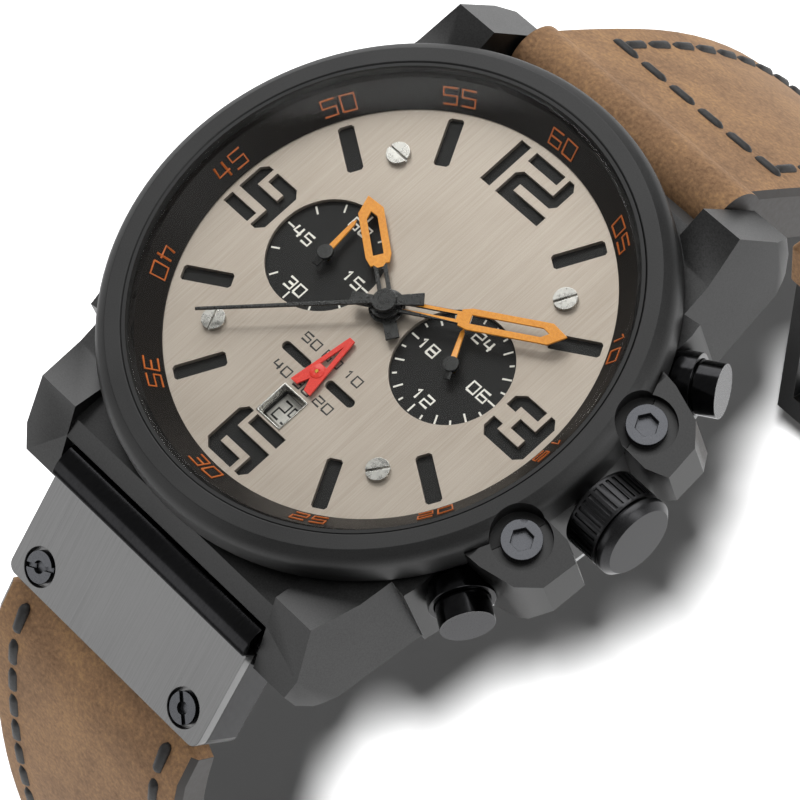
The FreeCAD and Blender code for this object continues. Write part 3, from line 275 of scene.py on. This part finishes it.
def dressed(node, material, width=0.0, name=None, segments=2, slot=None, merge=0.002, angle=32):
    """The CAD piece with its triangles merged, its edges rounded and its real finish."""
    obj = bpy.data.objects.new(name or node + "_piece", NODES[node].data.copy())
    bpy.context.scene.collection.objects.link(obj)
    obj.data.materials.clear()
    obj.data.materials.append(material)
    only(obj)
    bpy.ops.object.mode_set(mode="EDIT")
    bpy.ops.mesh.select_all(action="SELECT")
    bpy.ops.mesh.remove_doubles(threshold=merge * MM)
    bpy.ops.mesh.customdata_custom_splitnormals_clear()
    bpy.ops.mesh.dissolve_limited(angle_limit=math.radians(0.6))
    bpy.ops.object.mode_set(mode="OBJECT")
    if width:
        rounded(obj, width, segments, angle)
    else:
        smooth(obj, angle)
    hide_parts(node)
    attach(obj, BODY[node])
    return obj


def settle(obj, material, body, *nodes):
    """Give a new piece its material and the body it rides on."""
    obj.data.materials.clear()
    obj.data.materials.append(material)
    if nodes:
        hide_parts(*nodes)
    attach(obj, body)
    return obj


def paint(obj, material, chosen):
    """Second finish on the faces that chosen accepts, given centre and normal in mm."""
    obj.data.materials.append(material)
    index = len(obj.data.materials) - 1
    for face in obj.data.polygons:
        if chosen(face.center / MM, face.normal):
            face.material_index = index


def pen(point):
    """Start a line in edit mode with one vertex at a point in mm."""
    bpy.ops.mesh.primitive_plane_add(size=MM, location=[c * MM for c in point])
    bpy.ops.mesh.merge(type="CENTER")


def drawn(name, lines):
    """New object of edges, each line drawn point by point in mm."""
    bpy.ops.object.select_all(action="DESELECT")
    bpy.ops.mesh.primitive_plane_add(size=MM)
    obj = bpy.context.object
    obj.name = name
    bpy.ops.object.mode_set(mode="EDIT")
    bpy.ops.mesh.delete(type="VERT")
    for line in lines:
        pen(line[0])
        for a, b in zip(line, line[1:]):
            step = [(q - p) * MM for p, q in zip(a, b)]
            bpy.ops.mesh.extrude_region_move(TRANSFORM_OT_translate={"value": step})
    bpy.ops.mesh.select_all(action="SELECT")
    bpy.ops.object.mode_set(mode="OBJECT")
    return obj


def printed(name, lines, width, material, body):
    """Printed strokes: thin bands of one width along drawn lines."""
    obj = drawn(name, lines)
    only(obj)
    bpy.ops.object.convert(target="CURVE")
    obj = bpy.context.object
    obj.data.bevel_depth = width / 2 * MM
    obj.data.bevel_resolution = 0
    bpy.ops.object.convert(target="MESH")
    obj = bpy.context.object
    bpy.ops.object.mode_set(mode="EDIT")
    bpy.ops.mesh.select_all(action="SELECT")
    bpy.ops.mesh.fill_holes(sides=8)
    bpy.ops.mesh.normals_make_consistent(inside=False)
    bpy.ops.object.mode_set(mode="OBJECT")
    return settle(obj, material, body)


def flattened(obj, z, height):
    """Press printed strokes flat onto the level z, in mm."""
    only(obj)
    bpy.ops.object.mode_set(mode="EDIT")
    bpy.ops.mesh.select_all(action="SELECT")
    span = max(v.co.z for v in obj.data.vertices) - min(v.co.z for v in obj.data.vertices)
    bpy.ops.transform.resize(value=(1, 1, 2 * height * MM / span), center_override=(0, 0, z * MM))
    bpy.ops.object.mode_set(mode="OBJECT")
    return obj


# ---- numerals as square strokes in a unit cell -------------------------------------------------------
DIGITS = {
    "0": [[(0, 0), (1, 0), (1, 1), (0, 1), (0, 0)]],
    "1": [[(0.3, 0.75), (0.6, 1), (0.6, 0)]],
    "2": [[(0, 1), (1, 1), (1, 0.5), (0, 0.5), (0, 0), (1, 0)]],
    "3": [[(0, 1), (1, 1), (1, 0), (0, 0)], [(0.25, 0.5), (1, 0.5)]],
    "4": [[(0.1, 1), (0, 0.35), (1, 0.35)], [(0.8, 1), (0.8, 0)]],
    "5": [[(1, 1), (0, 1), (0, 0.52), (1, 0.52), (1, 0), (0, 0)]],
    "6": [[(1, 1), (0, 1), (0, 0), (1, 0), (1, 0.5), (0, 0.5)]],
    "8": [[(0, 0), (1, 0), (1, 1), (0, 1), (0, 0)], [(0, 0.5), (1, 0.5)]],
}


def number(text, wide, high, gap):
    """Strokes of a number, centred on the origin, in mm."""
    total = len(text) * wide + (len(text) - 1) * gap
    lines = []
    for i, digit in enumerate(text):
        x0 = i * (wide + gap) - total / 2
        lines += [[(x0 + x * wide, (y - 0.5) * high) for x, y in line] for line in DIGITS[digit]]
    return lines


def at_place(lines, x, y, z):
    return [[(px + x, py + y, z) for px, py in line] for line in lines]


def polar(radius, clock):
    a = math.radians(clock)
    return radius * math.sin(a), radius * math.cos(a)


# ---- case, bezel and crystal -------------------------------------------------------------------------
dressed("case_body", satin, 0.14)
dressed("bezel", blasted, 0.22, segments=3)
dressed("crown_guards", satin, 0.16)
dressed("guard_screws", dark_steel, 0.06)
dressed("case_back", back_steel, 0.12)
dressed("case_back_screws", nickel, 0.04)
dressed("crystal", crystal_glass, 0.2)
dressed("dial_flange", flange_paint)
for node, material in (("gaskets", rubber), ("crown_tube", steel), ("stem", steel), ("setting_yoke", steel),
                       ("spring_bars", steel), ("movement_ring", moulded), ("main_plate", moulded),
                       ("train_bridge", nickel_brass), ("bridge_screws", nickel),
                       ("circuit_board", board_green), ("battery", cell_steel), ("stator", iron),
                       ("coil", copper), ("step_wheel", moulded),
                       ("rotor", steel), ("third_wheel", brass), ("centre_wheel", brass),
                       ("chrono_intermediate_wheel", brass), ("minute_counter_wheel", brass),
                       ("seconds_wheel", brass), ("chrono_wheel", brass), ("minute_wheel", brass),
                       ("hour_wheel", brass), ("day_idler", brass), ("day_wheel", brass)):
    NODES[node].data.materials.clear()
    NODES[node].data.materials.append(material)

# ---- dial --------------------------------------------------------------------------------------------
dressed("dial_plate", dial_silver, 0.05)
dressed("dial_underplate", black_lacquer)
dressed("date_window_frame", window_steel, 0.03)
dressed("dial_screws", nickel, 0.05)
dressed("date_ring", date_white)

# flange numbers: tops outward from 45 to 15, towards the middle from 20 to 40
slope = (FLANGE_TOP - DIAL_TOP - 0.15) / (FLANGE_OUT - FLANGE_IN)
lines = []
for i in range(12):
    text = "60" if i == 0 else f"{5 * i:02d}"
    upside = 4 <= i <= 8
    for line in number(text, 1.15, 0.95, 0.45):
        points = []
        for x, y in line:
            radius = 19.25 + (-y if upside else y)
            turn = 30 * i + math.degrees((-x if upside else x) / 19.25)
            px, py = polar(radius, turn)
            points.append((px, py, DIAL_TOP + 0.15 + slope * (radius - FLANGE_IN) + 0.02))
        lines.append(points)
printed("flange_numbers", lines, 0.2, orange_ink, "case")

# small-seconds numbers on the dial
lines = []
for text, x, y in (("50", -2.58, -5.97), ("60", -0.1, -5.97), ("10", 2.37, -5.97),
                   ("40", -2.58, -9.18), ("30", -0.05, -9.18), ("20", 2.37, -9.18)):
    lines += at_place(number(text, 0.72, 0.72, 0.32), x, y, DIAL_TOP)
flattened(printed("small_seconds_numbers", lines, 0.17, black_ink, "case"), DIAL_TOP, 0.015)

# sub-dial numbers and ticks on the plate below
lines = []
for text, clock in (("60", 0), ("15", 90), ("30", 180), ("45", 270)):
    x, y = polar(3.05 if clock in (90, 270) else 3.55, clock)
    lines += at_place(number(text, 0.78, 0.9, 0.36), x - SUB_X, y, UNDER_TOP)
for text, clock in (("24", 0), ("06", 90), ("12", 180), ("18", 270)):
    x, y = polar(3.0 if clock in (90, 270) else 3.3, clock)
    lines += at_place(number(text, 0.78, 0.9, 0.36), x + SUB_X, y, UNDER_TOP)
flattened(printed("sub_dial_numbers", lines, 0.2, white_ink, "case"), UNDER_TOP, 0.015)
ticks = []
for i in range(12):
    a, b = polar(4.15, 30 * i), polar(4.9, 30 * i)
    ticks.append([(a[0] - SUB_X, a[1], UNDER_TOP), (b[0] - SUB_X, b[1], UNDER_TOP)])
for i in range(24):
    a, b = polar(4.1 if i % 2 == 0 else 4.5, 15 * i), polar(4.9, 15 * i)
    ticks.append([(a[0] + SUB_X, a[1], UNDER_TOP), (b[0] + SUB_X, b[1], UNDER_TOP)])
flattened(printed("sub_dial_ticks", ticks, 0.16, white_ink, "case"), UNDER_TOP, 0.015)

# date on the disc
date_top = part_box("date_ring")[1].z / MM
lines = at_place(number("25", 0.72, 1.6, 0.34), 0.05, -11.45, date_top)
flattened(printed("date_number", lines, 0.2, black_ink, "date"), date_top, 0.02)


# ---- hands -------------------------------------------------------------------------------------------
def along(clock):
    x, y = polar(1, clock)
    return Vector((x, y, 0))


for node, clock, base in (("hour_hand", -56.7, 3.85), ("minute_hand", 60, 6.2)):
    hand = dressed(node, black_hand, 0.03)
    line = along(clock)
    paint(hand, orange_paint, lambda c, n, line=line, base=base: c.dot(line) > base and c.z > DIAL_TOP)
dressed("chrono_seconds_hand", black_hand, 0.03)
dressed("small_seconds_hand", red_paint, 0.04)
for node, clock in (("minute_counter_hand", -5), ("day_hand", -30)):
    hand = dressed(node, orange_paint, 0.03)
    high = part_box(node)[1]
    hub = Vector((SUB_X if node == "day_hand" else -SUB_X, 0, 0))
    line = along(clock)
    paint(hand, black_hand, lambda c, n, line=line, hub=hub: (c - hub).dot(line) < 0.9)
    bpy.ops.mesh.primitive_cylinder_add(vertices=40, radius=0.66 * MM, depth=0.14 * MM,
                                        location=(hub.x * MM, 0, high.z + 0.06 * MM))
    cap = bpy.context.object
    cap.name = node + "_cap"
    bpy.ops.object.transform_apply(location=True)
    rounded(cap, 0.04)
    settle(cap, black_hand, BODY[node])

# ---- crown and pushers -------------------------------------------------------------------------------
dressed("crown", satin_black, 0.05)
dressed("pusher_collars", polished, 0.1)
for node, clock in (("start_pusher", 60), ("reset_pusher", 120)):
    pusher = dressed(node, polished, 0.16, segments=3)
    out = along(clock)
    # the chamfer faces near the end take the lighter steel as a painted highlight
    paint(pusher, painted_highlight_rim, lambda c, n, out=out: 0.2 < n.dot(out) < 0.97 and c.dot(out) > 27.0)
    paint(pusher, pusher_end, lambda c, n, out=out: n.dot(out) >= 0.97 and c.dot(out) > 27.0)

for node, joint, clock in (("start_pusher_spring", "start_push", 60),
                           ("reset_pusher_spring", "reset_push", 120)):
    spring = dressed(node, steel)
    line = along(clock)
    low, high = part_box(node)
    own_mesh(spring)

# ---- end link, plate and buckle ----------------------------------------------------------------------
link = dressed("end_link", satin, 0.2)
paint(link, polished, lambda c, n: math.hypot(c.y + BAR[0], c.z - BAR[1]) < 2.75)
dressed("link_plate", brushed_plate, 0.12)
dressed("link_plate_screws", dark_steel, 0.05)
dressed("buckle_frame", satin, 0.35, segments=3)
dressed("buckle_bar", steel, 0.05)
dressed("buckle_tongue", dark_steel, 0.25, segments=3)


# ---- strap -------------------------------------------------------------------------------------------
def walk(start, heading, path, side, step=1.0):
    """Points along a strap centre line in mm: (s, y, z, heading)."""
    y, z = start
    s, h = 0.0, heading
    out = [(s, y, z, h)]
    for length, turn in path:
        count = max(1, int(math.ceil(length / step)))
        for _ in range(count):
            dh, ds = turn / count, length / count
            a = math.radians(h + dh / 2)
            y += side * ds * math.cos(a)
            z -= ds * math.sin(a)
            h += dh
            s += ds
            out.append((s, y, z, h))
    return out


def strap_place(points, side, s, lift):
    """Frame on the strap at length s, lift mm above its middle: origin, direction, outward."""
    for p, q in zip(points, points[1:]):
        if q[0] >= s:
            break
    t = (s - p[0]) / (q[0] - p[0])
    y, z, h = [p[k] + (q[k] - p[k]) * t for k in (1, 2, 3)]
    a = math.radians(h)
    forward = Vector((0, side * math.cos(a), -math.sin(a)))
    outward = Vector((0, side * math.sin(a), math.cos(a)))
    return Vector((0, y, z)) + outward * lift, forward, outward


def one_stitch(length):
    """A thread stitch along Y, drawn in at both ends, lying on its side in the leather."""
    bpy.ops.object.select_all(action="DESELECT")
    bpy.ops.mesh.primitive_cylinder_add(vertices=10, radius=0.5 * MM, depth=length * 0.6 * MM,
                                        rotation=(math.pi / 2, 0, 0))
    obj = bpy.context.object
    bpy.ops.object.transform_apply(location=True, rotation=True, scale=True)
    bpy.ops.object.mode_set(mode="EDIT")
    bpy.context.tool_settings.mesh_select_mode = (False, False, True)
    for sign in (1, -1):
        for shrink, shift in ((0.85, 0.12), (0.45, 0.08)):
            bpy.ops.mesh.select_all(action="DESELECT")
            bpy.ops.object.mode_set(mode="OBJECT")
            far = max(sign * f.center.y for f in obj.data.polygons)
            for f in obj.data.polygons:
                f.select = sign * f.center.y > far - 1e-6
            bpy.ops.object.mode_set(mode="EDIT")
            bpy.ops.mesh.extrude_region_move(
                TRANSFORM_OT_translate={"value": (0, sign * shift * length * MM, -0.1 * MM)})
            bpy.ops.transform.resize(value=(shrink, 1, shrink))
    bpy.ops.object.mode_set(mode="OBJECT")
    smooth(obj, 60)
    return obj


def stitched(name, places, body, length=3.0):
    """A row of stitches, each a copy of one, joined into one piece."""
    model = one_stitch(length)
    copies = []
    for origin, forward, outward in places:
        across = forward.cross(outward)
        copy = bpy.data.objects.new(name, model.data.copy())
        turn = Matrix((across, forward, outward)).transposed().to_4x4()
        copy.data.transform(Matrix.Translation(origin * MM) @ turn)
        bpy.context.scene.collection.objects.link(copy)
        copies.append(copy)
    bpy.data.objects.remove(model)
    bpy.ops.object.select_all(action="DESELECT")
    for copy in copies:
        copy.select_set(True)
    bpy.context.view_layer.objects.active = copies[0]
    bpy.ops.object.join()
    return settle(copies[0], thread, body)


upper = walk(BAR, UPPER_HEAD, UPPER_PATH, 1)
plate_slope = math.radians(PLATE_HEAD)
lower_start = (-27.0 - math.cos(plate_slope) * 2.7 - math.sin(plate_slope) * -2.0,
               DIAL_TOP - 4.4 - math.sin(plate_slope) * 2.7 + math.cos(plate_slope) * -2.0)
lower = walk(lower_start, PLATE_HEAD, LOWER_PATH, -1)


def upper_half_thick(s):
    return (5.2 - 2.0 * min(s, 34) / 34) / 2


def lower_half_thick(s):
    thicker = 0.0 if s < 7 else min(0.9, (s - 7) * 0.35)
    thinner = 0.5 * min(1, (s - 60) / 20) if s > 60 else 0.0
    return (2.0 + thicker - thinner) / 2


for node, path, side, half_thick in (("strap_upper", upper, 1, upper_half_thick),
                                     ("strap_lower", lower, -1, lower_half_thick)):
    strap = dressed(node, leather, 0.45, segments=3, merge=0.01, angle=40)
    paint(strap, edge_paint, lambda c, n: abs(n.x) > 0.6)

    def below(c, n, path=path, side=side):
        """Faces of the lining, turned to the wrist."""
        near = min(path, key=lambda p: (p[1] - c.y) ** 2 + (p[2] - c.z) ** 2)
        a = math.radians(near[3])
        return n.dot(Vector((0, side * math.sin(a), math.cos(a)))) < -0.5

    paint(strap, lining, below)
for node in ("fixed_keeper", "free_keeper"):
    dressed(node, leather, 0.4, segments=3)

places = []
CROSS_S, LINE_X = 6.8, 9.0     # cross row from the bar, side rows from the middle
STITCH_PITCH, STITCH_SUNK = 3.4, 0.12
for s in [CROSS_S + 1.8 + STITCH_PITCH * i for i in range(16)]:
    narrow = 1 - max(0, s - 30) / 42 * (STRAP_W - BUCKLE_W) / STRAP_W
    for x in (-LINE_X, LINE_X):
        origin, forward, outward = strap_place(upper, 1, s, upper_half_thick(s) - STITCH_SUNK)
        places.append((origin + Vector((x * narrow, 0, 0)), forward, outward))
for i in range(6):
    origin, forward, outward = strap_place(upper, 1, CROSS_S, upper_half_thick(CROSS_S) - STITCH_SUNK)
    places.append((origin + Vector((-8.5 + STITCH_PITCH * i, 0, 0)), Vector((1, 0, 0)), outward))
stitched("upper_strap_stitches", places, "upper_strap")
places = []
for s in [9.6 + STITCH_PITCH * i for i in range(31)]:
    narrow = 1 - min(1, max(0, s - 40) / 45) * (STRAP_W - BUCKLE_W) / STRAP_W
    for x in (-LINE_X, LINE_X):
        origin, forward, outward = strap_place(lower, -1, s, lower_half_thick(s) - STITCH_SUNK)
        places.append((origin + Vector((x * narrow, 0, 0)), forward, outward))
stitched("lower_strap_stitches", places, "lower_strap")

# ---- floor, light and camera -------------------------------------------------------------------------
bpy.ops.object.select_all(action="DESELECT")
bpy.ops.mesh.primitive_plane_add(size=3.0, location=(0, 0, CAD_BOX[0].z - 0.0005))
floor = bpy.context.object
floor.name = "floor"
floor.data.materials.append(finish("paper_sweep", "424242", "444444", 0.0, 0.9, 4.0, bump=0.0))


def softbox(name, direction, distance, size, power):
    data = bpy.data.lights.new(name, "AREA")
    data.shape = "RECTANGLE"
    data.size, data.size_y = size
    data.energy = power
    lamp = bpy.data.objects.new(name, data)
    lamp.location = Vector(direction).normalized() * distance
    lamp.rotation_euler = Vector(direction).to_track_quat("Z", "Y").to_euler()
    bpy.context.scene.collection.objects.link(lamp)


softbox("key", (-0.75, 0.75, 0.8), 0.6, (0.45, 0.45), 2.6)
softbox("top", (0.15, 0.35, 1.0), 0.7, (0.3, 0.5), 1.2)
softbox("rim", (0.9, 0.5, 0.45), 0.6, (0.12, 0.4), 1.0)
softbox("fill", (-0.5, -0.8, 0.4), 0.6, (0.3, 0.3), 0.45)

# the sweep has its own hard lamp near the camera, which whitens it and drops the shadow to the lower right
sweep_lamp = bpy.data.objects.new("sweep_lamp", bpy.data.lights.new("sweep_lamp", "SUN"))
sweep_lamp.data.energy = 74
sweep_lamp.data.angle = math.radians(4)
sweep_lamp.rotation_euler = Vector((0.375, -0.183, 0.915)).to_track_quat("Z", "Y").to_euler()
bpy.context.scene.collection.objects.link(sweep_lamp)
sweep_only = bpy.data.collections.new("sweep_only")
sweep_only.objects.link(floor)
sweep_lamp.light_linking.receiver_collection = sweep_only

world = bpy.data.worlds.new("studio")
world.use_nodes = True
world.node_tree.nodes["Background"].inputs[0].default_value = (1, 1, 1, 1)
world.node_tree.nodes["Background"].inputs[1].default_value = 0.36
bpy.context.scene.world = world
bpy.context.scene.view_settings.view_transform = "Standard"

camera = bpy.data.objects.new("camera", bpy.data.cameras.new("camera"))
right, up, back = (0.6503, 0.7295, -0.2119), (-0.5897, 0.6606, 0.4645), (0.4789, -0.1771, 0.8598)
aim = Matrix((right, up, back)).transposed().to_4x4()
camera.matrix_world = Matrix.Translation((0.19628, -0.07486, 0.35027)) @ aim
camera.data.lens = 228.7
camera.data.sensor_width = 36
camera.data.clip_start = 0.01
bpy.context.scene.collection.objects.link(camera)
bpy.context.scene.camera = camera
